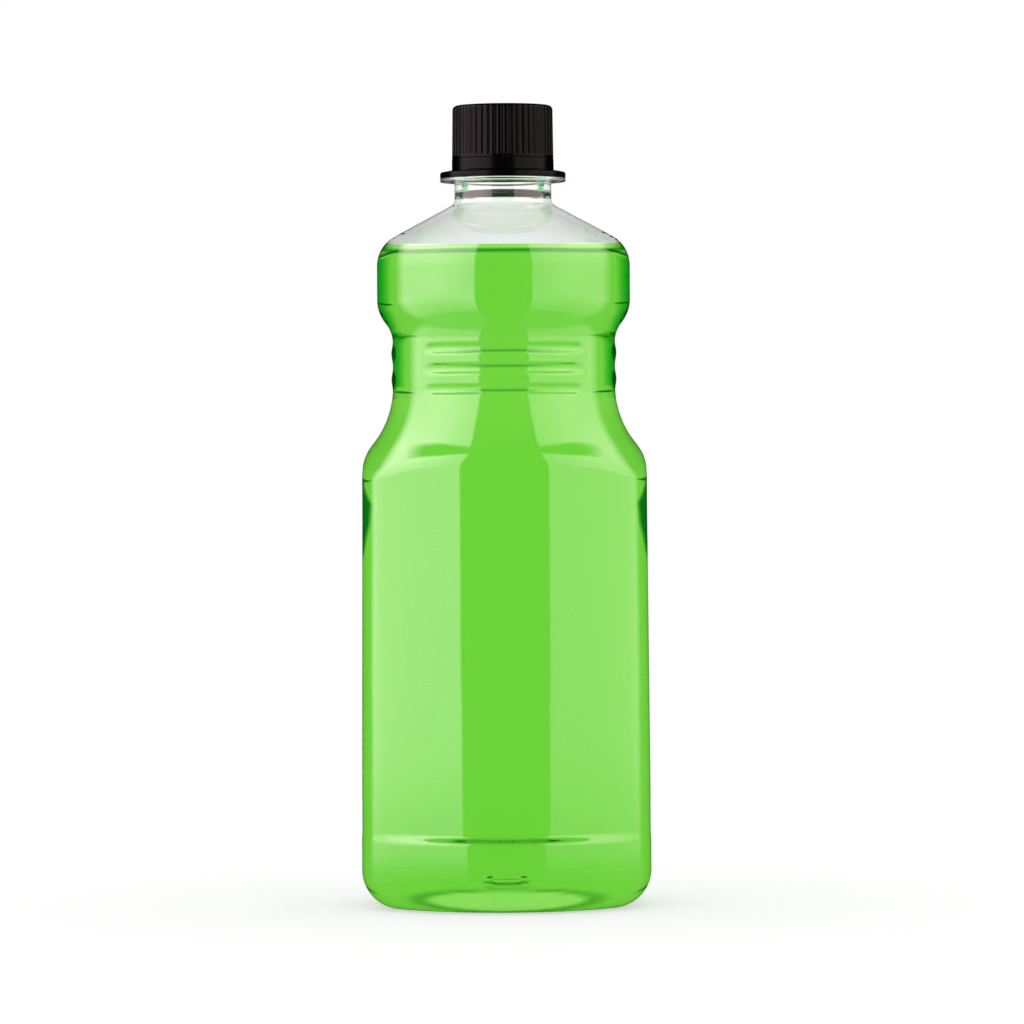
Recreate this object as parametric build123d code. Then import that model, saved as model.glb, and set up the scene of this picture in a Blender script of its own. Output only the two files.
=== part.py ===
from build123d import *
from math import atan2, cos, hypot, pi, radians, sin, sqrt, tan
import os

os.makedirs("parts", exist_ok=True)

# ---- driving dimensions, mm; origin at the middle of the standing plane, +Z up, front towards -Y ----
WALL = 0.5                 # blown wall
WALL_BASE = 0.8            # wall of the base
FILL_GAP = 0.1             # liquid to wall
Z_FILL = 196.6             # liquid level

# body: rounded square with bowed front and back
BODY_W2, BODY_D2 = 42.9, 40.5      # half width, half depth at the label panel
BODY_FRONT_R, BODY_CORNER_R = 59.1, 17.1
BASE_W2, BASE_D2 = 43.05, 42.9     # half width, half depth of the foot, fuller than the panel
BASE_FRONT_R, BASE_CORNER_R = 52.5, 17.1
Z_CREASE = 21.8                    # ledge between foot and label panel
Z_RAMP = 36.0                      # end of the ramp that takes its place behind
LEDGE_R = 0.9
HEEL_R = 11.5
SHOULDER_BLEND = 9.0               # round-over where the flare meets the panels

# grip and shoulder, turned about Z
WAIST_R = 33.3
Z_WAIST_LO, Z_WAIST_HI = 155.4, 168.6
FLARE_R, FLARE_DEG = 27.3, 37.5    # concave flare below the grip
BULGE_R, Z_BULGE_LO = 37.9, 181.2
BULGE_OUT_R, BULGE_IN_R = 10.9, 9.0
SHOULDER_R = 9.9
CONE_SLOPE = 1.858                 # radius lost per mm of height on the cone
Z_CONE_NECK = 210.0                # height where the cone line meets the neck
NECK_R, NECK_FILLET = 14.5, 2.2
Z_STEP_LO, Z_STEP_HI = 211.5, 213.6   # step inside, from the blown wall to the thick neck

# punt and gate button in the base
PUNT_R, PUNT_H = 28.0, 8.4
BUTTON_R, Z_BUTTON = 5.6, 9.5

# finger grooves in front, raised ribs at the sides
GROOVE_Z = (154.2, 160.4, 166.4)
GROOVE_HALF, GROOVE_DEEP, GROOVE_DEG = 1.9, 0.8, 40.0
SIDE_Z = (157.4, 165.2)
SIDE_HALF, SIDE_UP, SIDE_DEG = 2.7, 0.6, 19.0

# neck finish
RING_R, Z_RING_LO, Z_RING_HI = 18.8, 216.5, 217.55
FINISH_R, Z_LAND = 12.45, 236.9
BEAD_R, Z_BEAD_LO, Z_BEAD_HI = 13.45, 222.3, 223.7
BORE_R = 10.85

# tamper band, with a sloped flange that lies on the support ring
BAND_R, BAND_IN_R = 15.25, 14.0
Z_BAND_LO, Z_BAND_HI = 217.6, 223.1
FLANGE_R, Z_FLANGE_RIM, Z_FLANGE_HI = 18.8, 219.35, 220.0
CATCH_R, Z_CATCH_LO, Z_CATCH_HI = 12.95, 220.8, 221.8
BRIDGES, BRIDGE_W, BRIDGE_H = 12, 0.9, 0.24

# screw cap
Z_CAP_LO, Z_CAP_TOP = 223.4, 239.4
CAP_R_LO, CAP_R_HI, CAP_EDGE_R = 15.2, 15.0, 1.35
CAP_IN_R, CAP_TOP_T = 14.0, 1.5
CAP_RIBS, CAP_RIB_H, Z_CAP_RIB_LO = 48, 0.4, 224.1

# sealing disc
LINER_R, LINER_GAP = 13.65, 0.05


def wire_of(points):
    """Closed wire in the XZ plane through (r, z, corner radius) points."""
    n = len(points)
    ends = []
    for i, (x, z, f) in enumerate(points):
        if f <= 0:
            ends.append(((x, z), (x, z), None))
            continue
        px, pz, _ = points[i - 1]
        qx, qz, _ = points[(i + 1) % n]
        ux, uz = px - x, pz - z
        vx, vz = qx - x, qz - z
        lu, lv = hypot(ux, uz), hypot(vx, vz)
        ux, uz, vx, vz = ux / lu, uz / lu, vx / lv, vz / lv
        half = atan2(abs(ux * vz - uz * vx), ux * vx + uz * vz) / 2
        t = f / tan(half)
        bx, bz = ux + vx, uz + vz
        lb = hypot(bx, bz)
        d = f / sin(half) - f
        ends.append(((x + ux * t, z + uz * t), (x + vx * t, z + vz * t), (x + bx / lb * d, z + bz / lb * d)))
    edges = []
    for i in range(n):
        a, b, m = ends[i]
        if m is not None:
            edges.append(ThreePointArc((a[0], 0, a[1]), (m[0], 0, m[1]), (b[0], 0, b[1])))
        c = ends[(i + 1) % n][0]
        if hypot(c[0] - b[0], c[1] - b[1]) > 1e-6:
            edges.append(Line((b[0], 0, b[1]), (c[0], 0, c[1])))
    return Wire(edges)


def turned(points, degrees=360.0):
    return revolve(Face(wire_of(points)), axis=Axis.Z, revolution_arc=degrees)


def section(half_w, half_d, front_r, corner_r):
    """Rounded square in XY: flat sides, bowed front and back, tangent corners."""
    yc = front_r - half_d
    cx = half_w - corner_r
    cy = sqrt((front_r - corner_r) ** 2 - cx ** 2) - yc      # corner centre at (+-cx, +-cy)
    k = front_r / (front_r - corner_r)
    tx, ty = cx * k, (cy + yc) * k - yc                      # where front arc and corner meet
    ang = (atan2(ty - cy, tx - cx)) / 2
    qx, qy = cx + corner_r * cos(ang), cy + corner_r * sin(ang)
    edges = [
        ThreePointArc((-tx, -ty), (0, -half_d), (tx, -ty)),
        ThreePointArc((tx, -ty), (qx, -qy), (half_w, -cy)),
        Line((half_w, -cy), (half_w, cy)),
        ThreePointArc((half_w, cy), (qx, qy), (tx, ty)),
        ThreePointArc((tx, ty), (0, half_d), (-tx, ty)),
        ThreePointArc((-tx, ty), (-qx, qy), (-half_w, cy)),
        Line((-half_w, cy), (-half_w, -cy)),
        ThreePointArc((-half_w, -cy), (-qx, -qy), (-tx, -ty)),
    ]
    return Face(Wire(edges))


def ring_rib(z, half, up, span, middle, t):
    """Rounded rib lying round the grip over +-span degrees about the direction middle; t thins it for the inside."""
    tube = (half ** 2 + up ** 2) / (2 * up)
    r0 = WAIST_R + up - tube
    circle = Face(Wire(Edge.make_circle(tube - t, Plane((r0, 0, z), x_dir=(1, 0, 0), z_dir=(0, -1, 0)))))
    arc = revolve(circle, axis=Axis.Z, revolution_arc=2 * span).rotate(Axis.Z, middle - span)
    out = [arc]
    for a in (middle - span, middle + span):
        out.append(Pos(r0 * cos(radians(a)), r0 * sin(radians(a)), z) * Sphere(tube - t))
    return out


def ring_groove(z, half, deep, span, middle, t):
    """Cutter for a rounded groove round the grip over +-span degrees about the direction middle; t fattens it for the inside."""
    tube = (half ** 2 + deep ** 2) / (2 * deep)
    r0 = WAIST_R - deep + tube
    circle = Face(Wire(Edge.make_circle(tube + t, Plane((r0, 0, z), x_dir=(1, 0, 0), z_dir=(0, -1, 0)))))
    arc = revolve(circle, axis=Axis.Z, revolution_arc=2 * span).rotate(Axis.Z, middle - span)
    out = [arc]
    for a in (middle - span, middle + span):
        out.append(Pos(r0 * cos(radians(a)), r0 * sin(radians(a)), z) * Sphere(tube + t))
    return out


def vessel(t, t_base, ring):
    """The blown shape, set in by t; ring adds the neck finish outside, else the bore goes up the middle."""
    cone_v = t * sqrt(1 + CONE_SLOPE ** 2) / CONE_SLOPE      # cone line set in by t, measured straight down
    a = radians(FLARE_DEG)
    s = tan(a)
    r_end = WAIST_R + FLARE_R * (1 - cos(a))
    z_end = Z_WAIST_LO - FLARE_R * sin(a)
    flare_v = t * sqrt(1 + s * s) / s
    # corner of the flare: waist line and flare line
    z_flare = z_end - flare_v + (r_end - (WAIST_R - t)) / s
    far = 52.0
    z_far = z_flare - (far - (WAIST_R - t)) / s
    # S from bulge to grip: two arcs with one line
    drop = BULGE_R - WAIST_R
    al = 2 * atan2(drop, Z_BULGE_LO - Z_WAIST_HI)
    z_b = Z_BULGE_LO - BULGE_OUT_R * tan(al / 2)             # corner under the bulge
    z_w = Z_WAIST_HI + BULGE_IN_R * tan(al / 2)              # corner above the grip
    # slanted line between the corners, moved in by t along its normal
    sl = (BULGE_R - WAIST_R) / (z_b - z_w)
    lift = t * sqrt(1 + sl * sl) / sl
    z_b_in = z_b + lift - t / sl
    z_w_in = z_w + lift - t / sl
    bulge = BULGE_R - t
    z_corner = Z_CONE_NECK - (BULGE_R - NECK_R) / CONE_SLOPE
    z_corner_in = z_corner - cone_v + t / CONE_SLOPE
    low = [
        (0, -5, 0), (far, -5, 0), (far, z_far, 0),
        (WAIST_R - t, z_flare, FLARE_R + t),
        (WAIST_R - t, z_w_in, BULGE_IN_R + t),
        (bulge, z_b_in, BULGE_OUT_R - t),
        (bulge, z_corner_in, SHOULDER_R - t),
    ]
    if ring:
        high = [
            (NECK_R, Z_CONE_NECK, NECK_FILLET),
            (NECK_R, Z_RING_LO, 0.6),
            (RING_R, Z_RING_LO, 0.4),
            (RING_R, Z_RING_HI, 0.3),
            (FINISH_R, Z_RING_HI, 0.3),
            (FINISH_R, Z_BEAD_LO, 0.2),
            (BEAD_R, Z_BEAD_LO + 0.25, 0.3),
            (BEAD_R - 0.35, Z_BEAD_HI, 0.3),
            (FINISH_R, Z_BEAD_HI + 0.45, 0.3),
            (FINISH_R, Z_LAND, 0.4),
            (0, Z_LAND, 0),
        ]
    else:
        z_in = Z_CONE_NECK - cone_v + t / CONE_SLOPE
        high = [
            (NECK_R - t, z_in, NECK_FILLET + t), (NECK_R - t, Z_STEP_LO, 0.3), (BORE_R, Z_STEP_HI, 0.9),
            (BORE_R, Z_LAND + 3, 0), (0, Z_LAND + 3, 0),
        ]
    shape = turned(low + high)
    prism = extrude(section(BODY_W2 - t, BODY_D2 - t, BODY_FRONT_R - t, BODY_CORNER_R - t), 260)
    shape = shape & (Pos(0, 0, 12) * prism)
    edges = [
        e for e in shape.edges()
        if e.bounding_box().min.Z > 118 and e.bounding_box().max.Z < 141
        and e.geom_type != GeomType.LINE
    ]
    shape = fillet(edges, SHOULDER_BLEND - t)
    foot = extrude(section(BASE_W2 - t, BASE_D2 - t, BASE_FRONT_R - t, BASE_CORNER_R - t), Z_CREASE - t - t_base)
    foot = Pos(0, 0, t_base) * foot
    foot = fillet(foot.faces().sort_by(Axis.Z)[0].edges(), HEEL_R - t)
    foot = fillet(foot.faces().sort_by(Axis.Z)[-1].edges(), LEDGE_R)
    # behind, the step is drawn out into a long ramp
    d = t + 0.2
    ramp = loft([
        Pos(0, 0, Z_CREASE - t - 3) * section(BASE_W2 - d, BASE_D2 - d, BASE_FRONT_R - d, BASE_CORNER_R - d),
        Pos(0, 0, Z_RAMP) * section(BODY_W2 - d, BODY_D2 - d, BODY_FRONT_R - d, BODY_CORNER_R - d),
    ], ruled=True)
    ramp = ramp & (Pos(0, 10, 0) * Box(120, 60, 60, align=(Align.CENTER, Align.MIN, Align.MIN)))
    shape = shape + foot + ramp
    ribs = []
    for z in SIDE_Z:
        ribs += ring_rib(z, SIDE_HALF, SIDE_UP, SIDE_DEG, 0, t) + ring_rib(z, SIDE_HALF, SIDE_UP, SIDE_DEG, 180, t)
    shape = shape + ribs
    for z in GROOVE_Z:
        shape = shape - ring_groove(z, GROOVE_HALF, GROOVE_DEEP, GROOVE_DEG, -90, t)
    ball = (PUNT_R ** 2 + PUNT_H ** 2) / (2 * PUNT_H)
    punt = Pos(0, 0, PUNT_H - ball) * Sphere(ball + t_base)
    return shape - punt


def one(shape):
    solids = shape.solids()
    return max(solids, key=lambda s: s.volume)


# ---- bottle and what is in it ----
outer = vessel(0.0, 0.0, True)
inner = vessel(WALL, WALL_BASE, False)
button = Pos(0, 0, PUNT_H - 0.1) * Cylinder(BUTTON_R, Z_BUTTON - PUNT_H + 0.1, align=(Align.CENTER, Align.CENTER, Align.MIN))
button = fillet(button.edges().sort_by(Axis.Z)[-1], 0.25)
bottle = one(outer - (inner - button))

liquid = vessel(WALL + FILL_GAP, WALL_BASE + FILL_GAP, False)
room = Pos(0, 0, PUNT_H - 0.1) * Cylinder(
    BUTTON_R + FILL_GAP, Z_BUTTON - PUNT_H + 0.1 + FILL_GAP, align=(Align.CENTER, Align.CENTER, Align.MIN))
liquid = liquid - room
liquid = one(liquid & (Pos(0, 0, -1) * Box(120, 120, Z_FILL + 1, align=(Align.CENTER, Align.CENTER, Align.MIN))))

# ---- tamper band ----
band = turned([
    (BAND_IN_R, Z_BAND_LO, 0.15), (FLANGE_R, Z_BAND_LO, 0.3), (FLANGE_R, Z_FLANGE_RIM, 0.6),
    (BAND_R, Z_FLANGE_HI, 0.3), (BAND_R, Z_BAND_HI, 0.15),
    (BAND_IN_R, Z_BAND_HI, 0.15), (BAND_IN_R, Z_CATCH_HI + 0.35, 0),
    (CATCH_R, Z_CATCH_HI, 0.15), (CATCH_R, Z_CATCH_LO, 0.15), (BAND_IN_R, Z_CATCH_LO - 0.3, 0),
])
bridges = []
for i in range(BRIDGES):
    block = Pos(0.5 * (BAND_R + BAND_IN_R), 0, Z_BAND_HI - 0.2) * Box(
        0.6, BRIDGE_W, BRIDGE_H + 0.2, align=(Align.CENTER, Align.CENTER, Align.MIN))
    bridges.append(block.rotate(Axis.Z, (i + 0.5) * 360 / BRIDGES))
tamper_band = one(band + bridges)

# ---- screw cap ----
envelope = turned([
    (0, Z_CAP_LO, 0), (CAP_R_LO, Z_CAP_LO, 0.15), (CAP_R_HI, Z_CAP_TOP, CAP_EDGE_R), (0, Z_CAP_TOP, 0)])
root = CAP_R_HI - CAP_RIB_H
tip = CAP_R_LO + 0.3
corners = []
for i in range(CAP_RIBS):
    c = 2 * pi * i / CAP_RIBS
    for da, r in ((-0.36, root), (-0.20, tip), (0.20, tip), (0.36, root)):
        w = c + da * 2 * pi / CAP_RIBS
        corners.append((r * cos(w), r * sin(w)))
star = extrude(Face(Wire.make_polygon([(x, y, 0) for x, y in corners], close=True)), 30)
ribbed = envelope & (Pos(0, 0, Z_CAP_RIB_LO) * star)
rim = envelope & (Pos(0, 0, Z_CAP_LO - 1) * Cylinder(
    30, Z_CAP_RIB_LO - Z_CAP_LO + 1, align=(Align.CENTER, Align.CENTER, Align.MIN)))
hollow = Pos(0, 0, Z_CAP_LO - 1) * Cylinder(
    CAP_IN_R, Z_CAP_TOP - CAP_TOP_T - Z_CAP_LO + 1, align=(Align.CENTER, Align.CENTER, Align.MIN))
cap = one(ribbed + rim - hollow)

# ---- sealing disc ----
liner_lo = Z_LAND + LINER_GAP
liner_hi = Z_CAP_TOP - CAP_TOP_T - LINER_GAP
cap_liner = Pos(0, 0, liner_lo) * Cylinder(
    LINER_R, liner_hi - liner_lo, align=(Align.CENTER, Align.CENTER, Align.MIN))
cap_liner = one(cap_liner)

for name, solid in (
    ("bottle", bottle), ("shampoo", liquid), ("tamper_band", tamper_band),
    ("cap", cap), ("cap_liner", cap_liner),
):
    solid.label = name
    export_step(solid, f"parts/{name}.step")
    box = solid.bounding_box()
    print(name, f"volume {solid.volume:.0f} mm3", "valid", solid.is_valid, "size", box.size)
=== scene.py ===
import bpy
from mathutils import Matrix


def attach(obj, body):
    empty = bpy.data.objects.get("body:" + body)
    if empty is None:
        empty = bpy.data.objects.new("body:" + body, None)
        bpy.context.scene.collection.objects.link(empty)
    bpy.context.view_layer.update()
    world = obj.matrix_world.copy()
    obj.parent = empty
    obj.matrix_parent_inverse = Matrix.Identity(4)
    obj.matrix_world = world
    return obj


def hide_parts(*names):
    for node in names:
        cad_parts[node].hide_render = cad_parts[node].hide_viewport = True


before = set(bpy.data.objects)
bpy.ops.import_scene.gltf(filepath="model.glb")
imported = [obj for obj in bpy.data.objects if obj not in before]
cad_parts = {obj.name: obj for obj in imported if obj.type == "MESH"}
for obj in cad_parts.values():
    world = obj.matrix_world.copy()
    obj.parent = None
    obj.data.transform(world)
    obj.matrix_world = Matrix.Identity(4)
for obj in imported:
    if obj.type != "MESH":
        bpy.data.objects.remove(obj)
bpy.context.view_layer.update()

from math import atan2, cos, hypot, pi, radians, sin, sqrt, tan

import bpy
import numpy as np
from mathutils import Matrix, Vector

MM = 0.001

# ---- the part's dimensions, mm, as in the CAD model ----
WALL, WALL_BASE = 0.5, 0.8
BODY = (42.9, 40.5, 59.1, 17.1)          # half width, half depth, front radius, corner radius
FOOT = (43.05, 42.9, 52.5, 17.1)
Z_CREASE, HEEL_R = 21.8, 11.5
WAIST_R, Z_WAIST_LO, Z_WAIST_HI = 33.3, 155.4, 168.6
FLARE_R, FLARE_DEG = 27.3, 37.5
BULGE_R, Z_BULGE_LO, BULGE_OUT_R, BULGE_IN_R = 37.9, 181.2, 10.9, 9.0
SHOULDER_R, CONE_SLOPE, Z_CONE_NECK = 9.9, 1.858, 210.0
NECK_R, NECK_FILLET = 14.5, 2.2
Z_STEP_LO, Z_STEP_HI = 211.5, 213.6   # step inside where the blown wall meets the thick neck
PUNT_R, PUNT_H = 28.0, 8.4
BUTTON_R, BUTTON_UP = 5.6, 0.3
GROOVE_Z, GROOVE_DEG = (154.2, 160.4, 166.4), 40.0
SIDE_Z, SIDE_HALF, SIDE_UP, SIDE_DEG = (157.4, 165.2), 2.7, 0.42, 19.0
RING_R, Z_RING_LO, Z_RING_HI = 18.8, 216.5, 217.55
FINISH_R, Z_LAND, BORE_R = 12.45, 236.9, 10.85
BEAD_R, Z_BEAD_LO, Z_BEAD_HI = 13.45, 222.3, 223.7
BAND_R, BAND_IN_R, Z_BAND_LO, Z_BAND_HI = 15.25, 14.0, 217.6, 223.36
FLANGE_R, Z_FLANGE_RIM, Z_FLANGE_HI = 18.8, 219.35, 220.0
CATCH_R, Z_CATCH_LO, Z_CATCH_HI = 12.95, 220.8, 221.8
Z_CAP_LO, Z_CAP_TOP, CAP_R_LO, CAP_R_HI = 223.4, 239.4, 15.2, 15.0
CAP_IN_R, CAP_TOP_T, CAP_RIBS, CAP_RIB_H = 14.0, 1.5, 48, 0.25
PITCH = 3.18
Z_FLAT, MENISCUS_WIDE = 196.4, 0.9        # level of the liquid and reach of its climb at the wall

GROOVE_SHADE_LINE = ((153.8, 11.0), (161.1, 13.0), (165.5, 15.0))   # height and half length in degrees of the painted shade line in each groove
PAINTED_POOL_HALF, PAINTED_POOL_Z, PAINTED_POOL_TALL = 24.4, 4.3, 3.1                 # painted pale pool of light in the heel, ringed with painted shade

N = 160                                   # columns round the bottle
PHI = (np.arange(N) + 0.5) * 2 * pi / N
CLIMB = 0.3 + 1.3 * np.abs(np.cos(PHI)) ** 8
Z_CONTACT = Z_FLAT + CLIMB                # where the liquid meets the wall, by column


# ---- curves ----
def corners(points, step=12.0):
    """Polyline through (r, z, corner radius) points with each corner rounded."""
    out = []
    n = len(points)
    for i, (x, z, f) in enumerate(points):
        if f <= 0 or i in (0, n - 1):
            out.append((x, z))
            continue
        px, pz, qx, qz = *points[i - 1][:2], *points[i + 1][:2]
        ux, uz, vx, vz = px - x, pz - z, qx - x, qz - z
        lu, lv = hypot(ux, uz), hypot(vx, vz)
        ux, uz, vx, vz = ux / lu, uz / lu, vx / lv, vz / lv
        half = atan2(abs(ux * vz - uz * vx), ux * vx + uz * vz) / 2
        t = f / tan(half)
        bx, bz = ux + vx, uz + vz
        lb = hypot(bx, bz)
        cx, cz = x + bx / lb * f / sin(half), z + bz / lb * f / sin(half)
        a0 = atan2(z + uz * t - cz, x + ux * t - cx)
        a1 = atan2(z + vz * t - cz, x + vx * t - cx)
        d = (a1 - a0 + pi) % (2 * pi) - pi
        k = max(3, int(abs(d) / radians(step)) + 1)
        out += [(cx + f * cos(a0 + d * j / k), cz + f * sin(a0 + d * j / k)) for j in range(k + 1)]
    return out


def refine(points, longest):
    """The same polyline with no step longer than longest."""
    out = [points[0]]
    for a, b in zip(points, points[1:]):
        k = max(1, int(np.ceil(hypot(b[0] - a[0], b[1] - a[1]) / longest)))
        out += [(a[0] + (b[0] - a[0]) * j / k, a[1] + (b[1] - a[1]) * j / k) for j in range(1, k + 1)]
    return out


def section(phi, dims, inset=0.0):
    """Radius of the rounded square in the directions phi, set in by inset."""
    hw, hd, fr, cr = (d - inset for d in dims)
    c, s = np.abs(np.cos(phi)), np.abs(np.sin(phi))
    yc = fr - hd
    cx = hw - cr
    cy = sqrt((fr - cr) ** 2 - cx ** 2) - yc
    k = fr / (fr - cr)
    tx = cx * k
    side = hw / np.maximum(c, 1e-9)
    cd = -yc * s
    front = cd + np.sqrt(np.maximum(cd * cd - yc * yc + fr * fr, 0))
    cd = cx * c + cy * s
    corner = cd + np.sqrt(np.maximum(cd * cd - cx * cx - cy * cy + cr * cr, 0))
    r = np.where(side * s <= cy, side, corner)
    return np.where(front * c <= tx, front, r)


def turned_profile(t):
    """(r, z) from the foot up to the neck of the turned shape, set in by t."""
    cone_v = t * sqrt(1 + CONE_SLOPE ** 2) / CONE_SLOPE
    a = radians(FLARE_DEG)
    s = tan(a)
    r_end = WAIST_R + FLARE_R * (1 - cos(a))
    z_end = Z_WAIST_LO - FLARE_R * sin(a)
    z_flare = z_end - t * sqrt(1 + s * s) / s + (r_end - (WAIST_R - t)) / s
    far = 60.0
    z_far = z_flare - (far - (WAIST_R - t)) / s
    al = 2 * atan2(BULGE_R - WAIST_R, Z_BULGE_LO - Z_WAIST_HI)
    z_b = Z_BULGE_LO - BULGE_OUT_R * tan(al / 2)
    z_w = Z_WAIST_HI + BULGE_IN_R * tan(al / 2)
    sl = (BULGE_R - WAIST_R) / (z_b - z_w)
    lift = t * sqrt(1 + sl * sl) / sl - t / sl
    z_corner = Z_CONE_NECK - (BULGE_R - NECK_R) / CONE_SLOPE - cone_v + t / CONE_SLOPE
    pts = [
        (far, -5, 0), (far, z_far, 0), (WAIST_R - t, z_flare, FLARE_R + t), (WAIST_R - t, z_w + lift, BULGE_IN_R + t),
        (BULGE_R - t, z_b + lift, BULGE_OUT_R - t), (BULGE_R - t, z_corner, SHOULDER_R - t),
    ]
    if t == 0:
        pts += [(NECK_R, Z_CONE_NECK, NECK_FILLET), (NECK_R, Z_RING_LO - 0.8, 0)]
    else:
        z_in = Z_CONE_NECK - cone_v + t / CONE_SLOPE
        pts += [(NECK_R - t, z_in, NECK_FILLET + t), (NECK_R - t, Z_STEP_LO, 0.3), (BORE_R, Z_STEP_HI, 0.9), (BORE_R, Z_LAND - 0.5, 0)]
    return corners(pts, 4.0)


BLEND_DEG = (0, 18, 36, 51, 66, 90)
BLEND_K = (1.3, 1.3, 1.1, 0.9, 1.5, 2.6)


def blend_width(phi):
    """How wide the flare rounds over into the panels, by direction: broad in front and at the sides, tight at the corners."""
    off = np.degrees(np.arctan2(np.abs(np.cos(phi)), np.abs(np.sin(phi))))
    return np.interp(off, BLEND_DEG, BLEND_K)


def grip(phi, z):
    """Relief of the grip at height z: finger grooves with rounded ends in front, short soft ribs at the sides."""
    r = np.zeros_like(phi)
    bottom, lip, steep = 1.75, 1.05, radians(50)
    d1 = bottom * sin(steep)
    half = (bottom + lip) * sin(steep)
    deep = (bottom + lip) * (1 - cos(steep))
    for zc in GROOVE_Z:
        if abs(z - zc) < half:
            for mid in (-90,):
                d = np.abs((phi - radians(mid) + pi) % (2 * pi) - pi)
                over = np.maximum(0, (d - radians(GROOVE_DEG)) * WAIST_R)
                dist = np.minimum(np.sqrt((z - zc) ** 2 + over ** 2), half)
                inside = -deep + bottom - np.sqrt(np.maximum(bottom ** 2 - dist ** 2, 0))
                outside = -lip + np.sqrt(np.maximum(lip ** 2 - (half - dist) ** 2, 0))
                r = np.minimum(r, np.where(dist < d1, inside, outside))
    for zc in SIDE_Z:
        half = SIDE_HALF * 1.35
        if abs(z - zc) < half:
            for mid in (0, 180):
                d = np.degrees(np.abs((phi - radians(mid) + pi) % (2 * pi) - pi))
                fade = 0.5 + 0.5 * np.cos(pi * np.clip((d - 4) / (SIDE_DEG - 4), 0, 1))
                r = r + SIDE_UP * fade * (0.5 + 0.5 * cos(pi * (z - zc) / half))
    return r


def wall(z, t, prof):
    """Radius of the blown wall at height z above the crease, in every column."""
    u = min(max((152.0 - z) / 11.0, 0), 1)
    drop = 3.2 * u * u * (3 - 2 * u) * np.abs(np.sin(PHI)) ** 6
    r_turn = np.interp(z + drop, prof[1], prof[0])
    if z < 190:
        sec = section(PHI, (BODY[0] - 0.55 * min(max((z - 40.0) / 80.0, 0), 1),) + BODY[1:], t)
        k = blend_width(PHI)
        h = np.maximum(k - np.abs(r_turn - sec), 0)
        r = np.minimum(r_turn, sec) - h * h / (4 * k)
    else:
        r = r_turn
    if 148 < z < 172:
        r = r + grip(PHI, z)
    return r


def flip(p):
    """A rising polyline as arrays (r, z) for np.interp."""
    p = sorted(p, key=lambda q: q[1])
    return np.array([q[0] for q in p]), np.array([q[1] for q in p])


def side_rows(t, t_base, z_top, step, mark=None):
    """Rows from the base's flat, round the heel, up the foot and the body to z_top."""
    prof = flip(turned_profile(t))
    rows = []
    heel = HEEL_R - t
    for a in np.linspace(0, pi / 2, 19):
        rows.append((section(PHI, FOOT, t + heel * (1 - sin(a))), np.full(N, t_base + heel * (1 - cos(a)))))
    # the foot is fuller than the panels: a short step in front, a long soft one behind
    foot, body0 = section(PHI, FOOT, t), section(PHI, BODY, t)
    u = np.clip(0.5 + np.sin(PHI) / 0.5, 0, 1)
    behind = u * u * (3 - 2 * u)
    lo = (Z_CREASE - 1.4) * (1 - behind) + 11.0 * behind
    hi = (Z_CREASE + 1.4) * (1 - behind) + 36.0 * behind
    zs = list(np.linspace(t_base + heel, 19.6, 7)[1:]) + list(np.linspace(19.6, 24.0, 16)[1:]) + list(np.linspace(24.0, 36.5, 9)[1:])
    for z in zs:
        u = np.clip((z + t * 0.4 - lo) / (hi - lo), 0, 1)
        rows.append((body0 + (foot - body0) * (0.5 + 0.5 * np.cos(pi * u)), np.full(N, z)))
    z = 38.0
    grid = []
    while z < 118:
        grid.append(z)
        z += step * 4.0
    marks = [(118, 126, 1.5), (126, 142, 0.9), (142, 151, 1.5), (151, 170, 0.3), (170, 184, 1.2), (184, 190, 2.0), (190, 193.2, 1.1), (193.2, 196.1, 0.32), (196.1, 206, 1.1), (206, 207.6, 0.8), (207.6, 212.4, 0.24), (212.4, 300, step)]
    z = 118.0
    for lo, hi, st in marks:
        k = max(1, int(round((hi - lo) / st)))
        grid += [lo + (hi - lo) * j / k for j in range(k)]
    for z in grid:
        if mark is not None and z > Z_FLAT - 0.25:
            # the line where the liquid ends
            rows.append((wall(Z_FLAT - 0.25, t, prof), np.full(N, Z_FLAT - 0.25)))
            rows.append((np.interp(mark, prof[1], prof[0]), mark))
            mark, skip = None, Z_FLAT + 1.9
            if z_top < skip:
                return rows
            rows.append((wall(skip, t, prof), np.full(N, skip)))
        elif mark is None and Z_FLAT - 0.25 < z < Z_FLAT + 2.0 and t > 0:
            continue
        if Z_FLAT - 0.25 < z < Z_FLAT + 2.0 and t > 0:
            continue
        if z < z_top - 0.05:
            rows.append((wall(z, t, prof), np.full(N, z)))
    rows.append((wall(z_top, t, prof), np.full(N, z_top)))
    return rows


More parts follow.
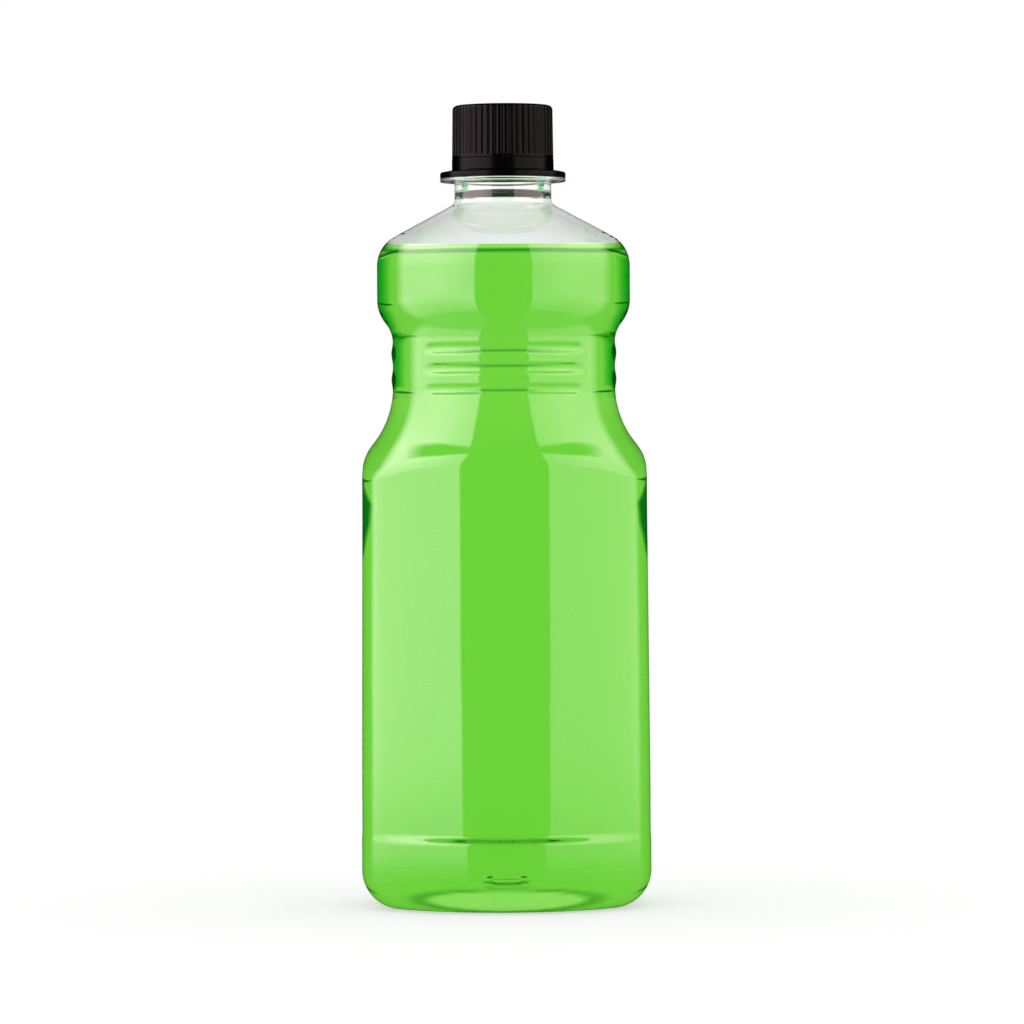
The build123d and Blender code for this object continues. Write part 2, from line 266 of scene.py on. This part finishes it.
def base_rows(t, t_base, button):
    """Rows from the middle of the base out to the heel's first row."""
    ball = (PUNT_R ** 2 + PUNT_H ** 2) / (2 * PUNT_H)
    zc = PUNT_H - ball
    rad = ball + t_base
    rows = []
    r0 = 0.0
    if button:
        # low round pad in the middle
        for r in (0.02, 1.5, 3.0, 4.2, 4.8, 5.2, 5.6, 6.0, 6.4, 7.0, 7.8):
            u = min(max((BUTTON_R + 0.8 - r) / 1.6, 0), 1)
            rows.append((np.full(N, r), np.full(N, zc + sqrt(rad ** 2 - r * r) + BUTTON_UP * u * u * (3 - 2 * u))))
        r0 = 7.8
    else:
        # gate mark under the base
        rows += [(np.full(N, r), np.full(N, z)) for r, z in refine(corners([
            (0.02, zc + rad - 0.5, 0), (1.6, zc + rad - 0.5, 0.25), (1.9, zc + sqrt(rad ** 2 - 1.9 ** 2), 0.25),
            (3.0, zc + sqrt(rad ** 2 - 9), 0)], 20), 1.0)]
        r0 = 3.0
    foot = sqrt(rad ** 2 - (t_base - zc) ** 2)
    for r in np.linspace(r0, foot - 1.2, 14)[1:]:
        rows.append((np.full(N, r), np.full(N, zc + sqrt(rad ** 2 - r * r))))
    edge = section(PHI, FOOT, t + HEEL_R - t)
    z1 = zc + sqrt(rad ** 2 - (foot - 1.2) ** 2)
    for f in (0.25, 0.5, 0.75):
        rows.append((np.full(N, foot - 1.2 + 2.6 * f), np.full(N, t_base + (z1 - t_base) * (1 - f) ** 2)))
    for f in (0.2, 0.6):
        rows.append((foot + 1.4 + (edge - foot - 1.4) * f, np.full(N, t_base)))
    return rows


def thread(phi, z, z0, z1, turns_hand=1.0):
    """Height from 0 to 1 of a right-hand thread ridge between z0 and z1, running out at both ends."""
    pos = (z - z0) / PITCH - turns_hand * (phi % (2 * pi)) / (2 * pi)
    w = np.abs(pos - np.round(pos)) * PITCH
    turn = np.round(pos) + turns_hand * (phi % (2 * pi)) / (2 * pi)
    ridge = np.clip((1.05 - w) / 0.55, 0, 1)
    ridge = ridge * ridge * (3 - 2 * ridge)
    end = np.clip((turn - 0.15) / 0.12, 0, 1) * np.clip(((z1 - z0) / PITCH - 0.35 - turn) / 0.12, 0, 1)
    return ridge * end


# ---- meshes ----
def from_rows(name, rows, close=False, flip_faces=False):
    """Mesh through rows of (r, z) columns; the first and last row are closed to a point on the axis unless close joins them."""
    n = rows[0][0].size
    phi = (np.arange(n) + 0.5) * 2 * pi / n
    c, s = np.cos(phi), np.sin(phi)
    m = len(rows)
    v = np.empty((m, n, 3))
    for i, (r, z) in enumerate(rows):
        v[i, :, 0], v[i, :, 1], v[i, :, 2] = r * c, r * s, z
    verts = v.reshape(-1, 3) * MM
    i = np.arange(m if close else m - 1)[:, None]
    j = np.arange(n)[None, :]
    i1, j1 = (i + 1) % m, (j + 1) % n
    quads = np.stack([i * n + j, i * n + j1, i1 * n + j1, i1 * n + j], -1).reshape(-1, 4)
    faces = [tuple(q) for q in quads.tolist()]
    if not close:
        a, b = len(verts), len(verts) + 1
        verts = np.vstack([verts, [[0, 0, rows[0][1].mean() * MM]], [[0, 0, rows[-1][1].mean() * MM]]])
        for k in range(n):
            k1 = (k + 1) % n
            faces.append((a, k1, k))
            faces.append((b, (m - 1) * n + k, (m - 1) * n + k1))
    if flip_faces:
        faces = [f[::-1] for f in faces]
    mesh = bpy.data.meshes.new(name)
    mesh.from_pydata(verts.tolist(), [], faces)
    mesh.update()
    mesh.polygons.foreach_set("use_smooth", np.ones(len(mesh.polygons), dtype=bool))
    ob = bpy.data.objects.new(name, mesh)
    bpy.context.scene.collection.objects.link(ob)
    return ob


def turned_rows(points, n, longest=1.0):
    return [(np.full(n, r), np.full(n, z)) for r, z in refine(points, longest)]


def build_bottle():
    z_ring_under = Z_RING_LO - 0.8
    inner = base_rows(WALL, WALL_BASE, True) + side_rows(WALL, WALL_BASE, 206.0, 1.6, Z_CONTACT)
    wet = [float((z - Z_CONTACT).max()) <= 1e-6 for r, z in inner]
    prof = turned_profile(WALL)
    start = [(float(np.interp(207.0, *flip(prof)[::-1])), 207.0)]
    top = turned_rows(start + [q for q in prof if 207.3 < q[1] < 216] + [(BORE_R, 216.5), (BORE_R, 235.0)], N, 1.2)
    top = [q for q in top if q[1][0] < 214.6 or round(q[1][0] / 1.2) % 3 == 0]
    land = turned_rows(corners([
        (BORE_R, 235.5, 0), (BORE_R, Z_LAND, 0.3), (FINISH_R, Z_LAND, 0.4), (FINISH_R, 235.9, 0)], 40), N, 1.0)
    # thread ridge on the finish
    z0, z1 = 225.4, 235.4
    screw = []
    for z in np.arange(235.7, 224.4, -0.36):
        screw.append((FINISH_R + 1.05 * thread(PHI, z, z0, z1), np.full(N, z)))
    finish = turned_rows(corners([
        (FINISH_R, 224.3, 0), (FINISH_R, Z_BEAD_HI + 0.45, 0.3), (BEAD_R - 0.35, Z_BEAD_HI, 0.3), (BEAD_R, Z_BEAD_LO + 0.25, 0.3),
        (FINISH_R, Z_BEAD_LO, 0.2), (FINISH_R, Z_RING_HI, 0.3), (RING_R, Z_RING_HI, 0.3),
        (RING_R, Z_RING_LO, 0.4), (NECK_R, Z_RING_LO, 0.6), (NECK_R, z_ring_under, 0)], 30), N, 1.4)
    outer = side_rows(0.0, 0.0, z_ring_under, 1.45)[::-1]
    under = base_rows(0.0, 0.0, False)[::-1]
    rows = inner + top + land + screw + finish + outer[1:] + under
    ob = from_rows("bottle_shell", rows, flip_faces=True)
    # faces that the liquid wets take the second material
    n_wet = wet.index(False) - 1
    slot = np.zeros(len(ob.data.polygons), dtype=np.int32)
    slot[:n_wet * N] = 1
    slot[(len(rows) - 1) * N::2] = 1
    # the flare behind takes the third, so that the light is not caught in it
    first = len(rows) - len(outer) + 1 - len(under)
    for i in range(first, len(rows) - len(under) - 1):
        if 132.0 < rows[i][1][0] < 151.0:
            slot[i * N:(i + 1) * N][np.sin(PHI) > 0.25] = 2
    ob.data.polygons.foreach_set("material_index", slot)
    return ob


def build_liquid(gap=0.03):
    t, tb = WALL + gap, WALL_BASE + gap
    rows = base_rows(t, tb, True) + side_rows(t, tb, Z_FLAT + 1.8, 1.6, Z_CONTACT)
    n_side = len(rows)
    r_c = rows[-1][0]
    for f in np.concatenate([np.linspace(0.0, 0.13, 31)[1:], np.linspace(0.15, 0.985, 14)]):
        d = f * r_c
        rows.append((r_c - d, Z_FLAT + CLIMB * np.exp(-d / MENISCUS_WIDE)))
    ob = from_rows("shampoo_liquid", rows)
    # the free surface, by face
    top = np.zeros(len(ob.data.polygons), dtype=np.float32)
    top[(n_side - 1) * N:(len(rows) - 1) * N] = 1
    top[(len(rows) - 1) * N + 1::2] = 1
    ob.data.attributes.new("free_surface", "FLOAT", "FACE").data.foreach_set("value", top)
    # dye tint by point, from the depth of liquid behind the wall: the thin edge that climbs the wall has little; the
    # base is left untinted, painted light that makes it paler
    n_base = len(base_rows(t, tb, True))
    deep = np.zeros(len(ob.data.vertices), dtype=np.float32)
    for i in range(n_base, n_side):
        deep[i * N:(i + 1) * N] = np.interp(rows[i][1] - CLIMB + 0.3, (195.45, 195.8), (1, 0))
    # painted shade, by point: dark lines drawn where the wall's relief bends the light away, under the liquid's edge,
    # in the grooves, at the crease and round the hollow of the base, whose inside is painted paler as a pool of light
    # in the heel
    painted_shade_lines = np.zeros(len(ob.data.vertices), dtype=np.float32)
    front = np.degrees(np.abs((PHI + pi / 2 + pi) % (2 * pi) - pi))
    for i in range(n_base - 1, n_side):
        r, z = rows[i]
        at = slice(i * N, (i + 1) * N)
        # painted shade band under the liquid's edge
        line = np.interp(z - CLIMB + 0.3, (193.9, 194.6, 195.2, 195.7), (0, 1, 1, 0))
        # painted shade lines in the grooves
        for zg, wide in GROOVE_SHADE_LINE:
            line = np.maximum(line, 0.95 * np.exp(-((z - zg) / 0.42) ** 2) * np.interp(front, (wide, wide + 9, 38), (1, 0.4, 0)))
        # painted shade line at the crease
        line = np.maximum(line, 0.9 * np.exp(-((z - 21.5) / 0.62) ** 2) * np.interp(front, (13, 20, 36), (1, 0.35, 0)))
        # painted light: a pale pool in the front of the heel, with a painted dark ring round it
        if z[0] < 12:
            e = np.hypot(r * np.cos(PHI) / PAINTED_POOL_HALF, (z - PAINTED_POOL_Z) / PAINTED_POOL_TALL) + np.where(np.sin(PHI) < 0, 0, 9)
            deep[at] = deep[at] * np.interp(e, (0.8, 1.0), (0, 1))
            line = np.maximum(line, 0.75 * np.interp(e, (0.9, 1.02, 1.1, 1.3), (0, 1, 1, 0)))
        painted_shade_lines[at] = line
    ob.data.attributes.new("deep", "FLOAT", "POINT").data.foreach_set("value", deep)
    ob.data.attributes.new("painted_shade_lines", "FLOAT", "POINT").data.foreach_set("value", painted_shade_lines)
    ob.data.materials.append(liquid_material())
    return ob


bottle = build_bottle()

# ---- cap, band, liner ----
CAP_N = CAP_RIBS * 12


def build_cap():
    n = CAP_N
    phi = (np.arange(n) + 0.5) * 2 * pi / n
    wave = (phi * CAP_RIBS / (2 * pi)) % 1.0
    d = np.abs(wave - 0.5) * 2                      # 0 at a rib's crest, 1 in the groove
    groove = 0.5 - 0.5 * np.cos(pi * np.clip((d - 0.34) / 0.5, 0, 1))
    full = lambda r, z: (np.full(n, r), np.full(n, z))
    rows = []
    # under the top, inside
    z_in = Z_CAP_TOP - CAP_TOP_T
    rows += [full(r, z_in) for r in (0.05, 3, 6, 9, 12)]
    rows += [full(r, z) for r, z in corners([(12.5, z_in, 0), (CAP_IN_R, z_in, 0.5), (CAP_IN_R, z_in - 1.2, 0)], 25)]
    for z in np.arange(z_in - 1.4, Z_CAP_LO + 0.6, -0.33):
        rows.append((CAP_IN_R - 0.95 * thread(phi, z, 224.6, 234.9), np.full(n, z)))
    rows += [full(r, z) for r, z in corners([(CAP_IN_R, Z_CAP_LO + 0.5, 0), (CAP_IN_R, Z_CAP_LO, 0.12), (CAP_R_LO, Z_CAP_LO, 0.2), (CAP_R_LO, Z_CAP_LO + 0.62, 0)], 25)]
    # ribbed skirt
    z_lo, z_hi = Z_CAP_LO + 0.7, Z_CAP_TOP - 1.5
    for z in refine([(0, z_lo), (0, z_lo + 0.5)], 0.1) + refine([(0, z_lo + 0.5), (0, z_hi)], 2.2)[1:]:
        z = z[1]
        f = (z - Z_CAP_LO) / (Z_CAP_TOP - Z_CAP_LO)
        r = CAP_R_LO + (CAP_R_HI - CAP_R_LO) * f
        fade = np.clip((z - z_lo) / 0.45, 0, 1)
        rows.append((r - CAP_RIB_H * groove * fade, np.full(n, z)))
    # top edge, ribs running out into it
    er = 1.35
    for a in np.linspace(0.12, pi / 2, 11):
        r = CAP_R_HI - er * (1 - cos(a))
        rows.append((r - CAP_RIB_H * groove * np.clip(1 - a / 1.15, 0, 1) ** 1.2, np.full(n, Z_CAP_TOP - er + er * sin(a))))
    # top: a shallow dish inside a plain rim, a moulding mark in the middle
    for r, z in refine(corners([
        (CAP_R_HI - er - 0.2, Z_CAP_TOP, 0), (12.4, Z_CAP_TOP, 0.5), (12.0, Z_CAP_TOP - 0.18, 0.5), (1.5, Z_CAP_TOP - 0.18, 0.2),
        (1.3, Z_CAP_TOP - 0.4, 0.15), (0.05, Z_CAP_TOP - 0.4, 0)], 30), 2.5):
        rows.append(full(r, z))
    return from_rows("screw_cap", rows, flip_faces=False)


def build_band():
    n = 240
    prof = corners([
        (BAND_IN_R, 222.4, 0), (BAND_IN_R, Z_BAND_HI, 0.1), (BAND_R, Z_BAND_HI, 0.16), (BAND_R, Z_FLANGE_HI, 0.35),
        (FLANGE_R, Z_FLANGE_RIM, 0.6), (FLANGE_R, Z_BAND_LO, 0.3), (BAND_IN_R, Z_BAND_LO, 0.15),
        (BAND_IN_R, Z_CATCH_LO - 0.3, 0.1), (CATCH_R, Z_CATCH_LO, 0.15), (CATCH_R, Z_CATCH_HI, 0.15),
        (BAND_IN_R, Z_CATCH_HI + 0.35, 0)], 18)
    rows = turned_rows(prof, n, 0.7)
    ob = from_rows("tamper_ring", rows, close=True, flip_faces=True)
    return ob


def build_liner():
    n = 128
    lo, hi = Z_LAND + 0.05, Z_CAP_TOP - CAP_TOP_T - 0.05
    rows = turned_rows(corners([(0.05, lo, 0), (13.65, lo, 0.12), (13.65, hi, 0.12), (0.05, hi, 0)], 22), n, 1.2)
    # ring pressed into the foam by the neck's land
    out = []
    for r, z in rows:
        low = z < lo + 0.05
        press = np.exp(-((r - 11.65) / 0.7) ** 2) * 0.10
        out.append((r, np.where(low, z + press, z)))
    return from_rows("sealing_disc", out)


cap = build_cap()
band = build_band()
liner = build_liner()


# ---- materials ----
PET_IOR, LIQUID_IOR = 1.46, 1.28
DYE = (0.32, 0.76, 0.135, 1)


def new_material(name):
    m = bpy.data.materials.new(name)
    m.use_nodes = True
    nt = m.node_tree
    nt.nodes.clear()
    out = nt.nodes.new("ShaderNodeOutputMaterial")
    p = nt.nodes.new("ShaderNodeBsdfPrincipled")
    nt.links.new(p.outputs[0], out.inputs["Surface"])
    return m, nt, p, out


def noise(nt, scale, detail=2.0, rough=0.5, stretch=(1, 1, 1)):
    tc = nt.nodes.new("ShaderNodeTexCoord")
    mp = nt.nodes.new("ShaderNodeMapping")
    mp.inputs["Scale"].default_value = stretch
    nt.links.new(tc.outputs["Object"], mp.inputs["Vector"])
    n = nt.nodes.new("ShaderNodeTexNoise")
    n.inputs["Scale"].default_value = scale
    n.inputs["Detail"].default_value = detail
    n.inputs["Roughness"].default_value = rough
    nt.links.new(mp.outputs[0], n.inputs["Vector"])
    return n


def ramp(nt, socket, lo, hi, a=0.35, b=0.65):
    r = nt.nodes.new("ShaderNodeMapRange")
    r.inputs["From Min"].default_value, r.inputs["From Max"].default_value = a, b
    r.inputs["To Min"].default_value, r.inputs["To Max"].default_value = lo, hi
    nt.links.new(socket, r.inputs["Value"])
    return r.outputs["Result"]


def bump(nt, p, socket, strength, distance):
    b = nt.nodes.new("ShaderNodeBump")
    b.inputs["Strength"].default_value = strength
    b.inputs["Distance"].default_value = distance
    nt.links.new(socket, b.inputs["Height"])
    nt.links.new(b.outputs["Normal"], p.inputs["Normal"])


def pet_material(name, ior):
    m, nt, p, out = new_material(name)
    p.inputs["Base Color"].default_value = (0.985, 0.992, 0.985, 1)
    p.inputs["IOR"].default_value = ior
    p.inputs["Transmission Weight"].default_value = 1.0
    n = noise(nt, 60.0, 3.0)
    nt.links.new(ramp(nt, n.outputs["Fac"], 0.0, 0.008), p.inputs["Roughness"])
    return m


def liquid_material():
    m, nt, p, out = new_material("green_liquid")
    # dye tint by point; where it is left out at the base and in the heel's pool it is painted light
    at = nt.nodes.new("ShaderNodeAttribute")
    at.attribute_name = "deep"
    mix = nt.nodes.new("ShaderNodeMix")
    mix.data_type = "RGBA"
    mix.inputs[6].default_value = (1, 1, 1, 1)
    mix.inputs[7].default_value = DYE
    nt.links.new(at.outputs["Fac"], mix.inputs[0])
    # painted shade: the dark lines drawn by point are mixed in as a dark green
    at = nt.nodes.new("ShaderNodeAttribute")
    at.attribute_name = "painted_shade_lines"
    edge = nt.nodes.new("ShaderNodeMix")
    edge.data_type = "RGBA"
    nt.links.new(at.outputs["Fac"], edge.inputs[0])
    nt.links.new(mix.outputs[2], edge.inputs[6])
    edge.inputs[7].default_value = (0.0004, 0.17, 0.006, 1)
    nt.links.new(edge.outputs[2], p.inputs["Base Color"])
    # painted light: the liquid glows a faint green of its own
    p.inputs["Emission Color"].default_value = (0.02, 1.0, 0.05, 1)
    p.inputs["Emission Strength"].default_value = 0.012
    p.inputs["Roughness"].default_value = 0.0
    p.inputs["Transmission Weight"].default_value = 1.0
    p.inputs["IOR"].default_value = LIQUID_IOR
    # only the free surface bends light by itself; at the wetted wall the step from plastic to liquid is the bottle's
    at = nt.nodes.new("ShaderNodeAttribute")
    at.attribute_name = "free_surface"
    nt.links.new(ramp(nt, at.outputs["Fac"], 1.0, LIQUID_IOR, 0.0, 1.0), p.inputs["IOR"])
    v = nt.nodes.new("ShaderNodeVolumeAbsorption")
    # absorption per metre: density times one less the colour
    v.inputs["Color"].default_value = (0.42, 0.88, 0.0, 1)
    v.inputs["Density"].default_value = 15.0
    nt.links.new(v.outputs[0], out.inputs["Volume"])
    return m


def black_material():
    m, nt, p, out = new_material("black_cap_plastic")
    n = noise(nt, 900.0, 3.0, 0.6)
    mix = nt.nodes.new("ShaderNodeMix")
    mix.data_type = "RGBA"
    mix.inputs[6].default_value = (0.0012, 0.0012, 0.0013, 1)
    mix.inputs[7].default_value = (0.0021, 0.0021, 0.0023, 1)
    nt.links.new(ramp(nt, n.outputs["Fac"], 0, 1), mix.inputs[0])
    nt.links.new(mix.outputs[2], p.inputs["Base Color"])
    n2 = noise(nt, 260.0, 2.0, 0.5)
    nt.links.new(ramp(nt, n2.outputs["Fac"], 0.15, 0.21), p.inputs["Roughness"])
    p.inputs["Specular IOR Level"].default_value = 0.042
    bump(nt, p, n.outputs["Fac"], 0.05, 0.00006)
    return m


def foam_material():
    m, nt, p, out = new_material("liner_foam")
    v = nt.nodes.new("ShaderNodeTexVoronoi")
    tc = nt.nodes.new("ShaderNodeTexCoord")
    nt.links.new(tc.outputs["Object"], v.inputs["Vector"])
    v.inputs["Scale"].default_value = 2200.0
    mix = nt.nodes.new("ShaderNodeMix")
    mix.data_type = "RGBA"
    mix.inputs[6].default_value = (0.70, 0.70, 0.68, 1)
    mix.inputs[7].default_value = (0.86, 0.86, 0.84, 1)
    nt.links.new(v.outputs["Distance"], mix.inputs[0])
    nt.links.new(mix.outputs[2], p.inputs["Base Color"])
    p.inputs["Roughness"].default_value = 0.7
    bump(nt, p, v.outputs["Distance"], 0.3, 0.00008)
    return m


PET, WET = pet_material("clear_pet", PET_IOR), pet_material("clear_pet_wetted", PET_IOR / LIQUID_IOR)
BEHIND = pet_material("clear_pet_flare", 1.2)
BLACK, FOAM = black_material(), foam_material()
liquid = build_liquid()
for ob, mat, body, node, slot in (
    (bottle, PET, "bottle", "bottle", "clear_pet"),
    (liquid, None, "bottle", "shampoo", "green_liquid"),
    (band, BLACK, "bottle", "tamper_band", "black_plastic"),
    (cap, BLACK, "cap", "cap", "black_plastic"),
    (liner, FOAM, "liner", "cap_liner", "liner_foam"),
):
    if mat:
        ob.data.materials.append(mat)
    if ob is bottle:
        ob.data.materials.append(WET)
        ob.data.materials.append(BEHIND)
    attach(ob, body)
    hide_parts(node)


# ---- floor, light, camera ----
def plane(name, corners_m):
    mesh = bpy.data.meshes.new(name)
    mesh.from_pydata(corners_m, [], [(0, 1, 2, 3)])
    mesh.update()
    uv = mesh.uv_layers.new(name="UVMap")
    for i, c in enumerate(((0, 0), (1, 0), (1, 1), (0, 1))):
        uv.data[i].uv = c
    ob = bpy.data.objects.new(name, mesh)
    bpy.context.scene.collection.objects.link(ob)
    return ob


floor = plane("floor", [(-40, -40, 0), (40, -40, 0), (40, 40, 0), (-40, 40, 0)])
fm, nt, p, out = new_material("floor_paper")
n = noise(nt, 40.0, 2.0)
mix = nt.nodes.new("ShaderNodeMix")
mix.data_type = "RGBA"
mix.inputs[6].default_value = (0.50, 0.50, 0.50, 1)
mix.inputs[7].default_value = (0.52, 0.52, 0.52, 1)
nt.links.new(n.outputs["Fac"], mix.inputs[0])
nt.links.new(mix.outputs[2], p.inputs["Base Color"])
p.inputs["Roughness"].default_value = 0.9
p.inputs["Specular IOR Level"].default_value = 0.0
p.inputs["Emission Color"].default_value = (1, 1, 1, 1)
p.inputs["Emission Strength"].default_value = 0.51
floor.data.materials.append(fm)
floor.visible_glossy = False


def glowing(name, verts, shape, glow, strength, colour):
    """Grid of points with its own glow, seen only in reflections."""
    m, n = shape
    faces = [(i * n + j, i * n + j + 1, (i + 1) * n + j + 1, (i + 1) * n + j) for i in range(m - 1) for j in range(n - 1)]
    mesh = bpy.data.meshes.new(name)
    mesh.from_pydata(verts.tolist(), [], faces)
    mesh.update()
    mesh.attributes.new("glow", "FLOAT", "POINT").data.foreach_set("value", glow.astype(np.float32).ravel())
    ob = bpy.data.objects.new(name, mesh)
    bpy.context.scene.collection.objects.link(ob)
    mat = bpy.data.materials.new(name)
    mat.use_nodes = True
    nt = mat.node_tree
    nt.nodes.clear()
    out = nt.nodes.new("ShaderNodeOutputMaterial")
    em = nt.nodes.new("ShaderNodeEmission")
    em.inputs["Color"].default_value = (*colour, 1)
    at = nt.nodes.new("ShaderNodeAttribute")
    at.attribute_name = "glow"
    mul = nt.nodes.new("ShaderNodeMath")
    mul.operation = "MULTIPLY"
    nt.links.new(at.outputs["Fac"], mul.inputs[0])
    mul.inputs[1].default_value = strength
    nt.links.new(mul.outputs[0], em.inputs["Strength"])
    nt.links.new(em.outputs[0], out.inputs["Surface"])
    ob.data.materials.append(mat)
    ob.visible_camera = False
    ob.visible_diffuse = False
    ob.visible_transmission = False
    ob.visible_shadow = False
    return ob


ACROSS = np.concatenate([[0, 0.008, 0.016], np.linspace(0.05, 1, 28)])


def softbox(name, sign, strength, colour):
    """Tall curved light panel to one side of the camera, with the light it throws on the floor before it.

    A point of the panel is where a surface facing f to the side and t up mirrors the camera to."""
    reach = 1.5
    u, t = np.meshgrid(ACROSS, np.radians(np.concatenate([np.linspace(-9, 6, 31), np.linspace(7, 48, 42)])))
    inner = 12.6 - 2.0 * np.clip(np.degrees(t) / 37.5, 0, 1)
    f = np.radians(inner + (57 - inner) * u)
    c = np.cos(t) * np.cos(f)
    x = 2 * c * np.cos(t) * np.sin(f) * sign
    y = 1 - 2 * c * np.cos(t) * np.cos(f)
    z = 2 * c * np.sin(t)
    v = np.stack([x * reach, y * reach, np.maximum(z * reach + 0.14, 0)], -1).reshape(-1, 3)
    glow = np.interp(u, (0, 0.016, 0.84, 1), (0, 1, 1, 0))
    glow = glow * np.interp(v[:, 2].reshape(f.shape), (0, 0.07, 0.19, 0.25, 0.35, 0.8), (1.0, 1.05, 1.05, 1.25, 1.45, 1.5))
    glow = glow * np.interp(np.degrees(t) - np.interp(np.degrees(f), (25, 55), (0, 5)), (32.8, 34.8), (1, 0))
    # the upper part is brightest along its middle
    upper = np.interp(v[:, 2].reshape(f.shape), (0.19, 0.215), (0, 1))
    glow = glow * (1 + upper * (np.interp(np.degrees(f), (12.6, 22, 32, 40, 48, 57), (0.72, 1.0, 1.15, 1.0, 0.8, 0.78)) - 1))
    glowing(name, v, f.shape, glow, strength, colour)
    u, d = np.meshgrid(ACROSS, np.concatenate([np.linspace(0.03, 0.3, 10), np.linspace(0.35, 1.5, 12)]))
    f = np.radians(12.6 + (57 - 12.6) * u)
    v = np.stack([sign * (0.037 * np.sin(f) + d * np.sin(2 * f)), -0.037 * np.cos(f) - d * np.cos(2 * f), np.full(f.shape, 0.0004)], -1).reshape(-1, 3)
    glow = np.interp(u, (0, 0.016, 0.84, 1), (0, 1, 1, 0)) * np.interp(d, (0.05, 0.12, 0.19, 0.225, 0.28, 0.4, 0.6, 0.85, 1.3), (0.06, 0.15, 0.2, 0.47, 0.56, 0.63, 0.79, 0.93, 1.0))
    glowing(name + "_floor", v, f.shape, glow, strength, colour)


softbox("softbox_left", -1, 5.0, (1.0, 0.78, 0.84))
softbox("softbox_right", 1, 3.1, (1.0, 0.8, 0.77))

def seen_through(name, verts, faces, tones):
    """Coloured card seen only through the clear parts."""
    mesh = bpy.data.meshes.new(name)
    mesh.from_pydata(verts, [], faces)
    mesh.update()
    tone = mesh.attributes.new("tone", "FLOAT_COLOR", "POINT")
    tone.data.foreach_set("color", np.array([(*c, 1.0) for c in tones], dtype=np.float32).ravel())
    ob = bpy.data.objects.new(name, mesh)
    bpy.context.scene.collection.objects.link(ob)
    mat = bpy.data.materials.new(name)
    mat.use_nodes = True
    nt = mat.node_tree
    nt.nodes.clear()
    out = nt.nodes.new("ShaderNodeOutputMaterial")
    em = nt.nodes.new("ShaderNodeEmission")
    at = nt.nodes.new("ShaderNodeAttribute")
    at.attribute_name = "tone"
    nt.links.new(at.outputs["Color"], em.inputs["Color"])
    em.inputs["Strength"].default_value = 1.0
    nt.links.new(em.outputs[0], out.inputs["Surface"])
    ob.data.materials.append(mat)
    ob.visible_camera = False
    ob.visible_diffuse = False
    ob.visible_glossy = False
    ob.visible_shadow = False


def card(name, sign):
    """Dark green card beside the backdrop that gives the clear edges their outline."""
    green = ((0.9, 1.0, 0.9), (0.3, 0.8, 0.35), (0.0, 0.62, 0.22), (0.0, 0.62, 0.22))
    dark = ((0.8, 0.95, 0.8), (0.005, 0.22, 0.15), (0.005, 0.22, 0.15))
    grey = ((0.5, 0.55, 0.5), (0.05, 0.07, 0.05), (0.05, 0.07, 0.05))
    for part, levels, colours in (
        ("_top", ((0.25, (33, 39, 47, 76)), (0.8, (33, 39, 47, 76))), green),
        ("_neck", ((0.236, (32, 38, 150)), (0.25, (32, 38, 150))), grey),
        ("_mid", ((0.145, (33, 39, 47, 76)), (0.236, (33, 39, 47, 76))), green),
        ("_low", ((0.082, (50, 56, 76)), (0.092, (33, 38, 76)), (0.104, (25, 29, 76)), (0.113, (23, 27, 76)), (0.126, (40, 45, 76))), dark),
    ):
        v, tones, m, n = [], [], len(levels), 41
        for z, degs in levels:
            for a in np.linspace(degs[0], degs[-1], n):
                v.append((sign * 0.6 * sin(radians(a)), 0.6 * cos(radians(a)), z))
                tones.append(tuple(float(np.interp(a, degs, [c[k] for c in colours])) for k in range(3)))
        faces = [(i * n + j, i * n + j + 1, (i + 1) * n + j + 1, (i + 1) * n + j) for i in range(m - 1) for j in range(n - 1)]
        seen_through(name + part, v, faces, tones)


card("card_left", -1)
card("card_right", 1)
scene = bpy.context.scene
world = bpy.data.worlds.new("studio")
scene.world = world
world.use_nodes = True
nt = world.node_tree
nt.nodes.clear()
wo = nt.nodes.new("ShaderNodeOutputWorld")
bg = nt.nodes.new("ShaderNodeBackground")
bg.inputs["Color"].default_value = (1, 1, 1, 1)
bg.inputs["Strength"].default_value = 1.0
nt.links.new(bg.outputs[0], wo.inputs["Surface"])
world.cycles_visibility.glossy = False

# camera: 5500 picture points away at 0.30 mm a point, eye level 139 mm, a trace of roll
PX = 0.30 * MM
DIST = 5500 * PX
cam_data = bpy.data.cameras.new("camera")
cam_data.sensor_width = 36.0
cam_data.lens = 36.0 * 5500 / 1024
cam_data.clip_start, cam_data.clip_end = 0.05, 50
cam = bpy.data.objects.new("camera", cam_data)
scene.collection.objects.link(cam)
scene.camera = cam
pitch = atan2(72, 5500)
cam.location = (7.2 * PX, -DIST, (904 - 440) * PX)
cam.rotation_mode = "XYZ"
cam.matrix_world = Matrix.Translation(cam.location) @ Matrix.Rotation(radians(90) - pitch, 4, "X") @ Matrix.Rotation(radians(-0.337), 4, "Z")

scene.view_settings.view_transform = "Standard"
scene.view_settings.look = "None"
scene.view_settings.exposure = 0.0
scene.view_settings.gamma = 1.0
scene.cycles.max_bounces = 64
scene.cycles.transmission_bounces = 64
scene.cycles.glossy_bounces = 24
scene.cycles.transparent_max_bounces = 16
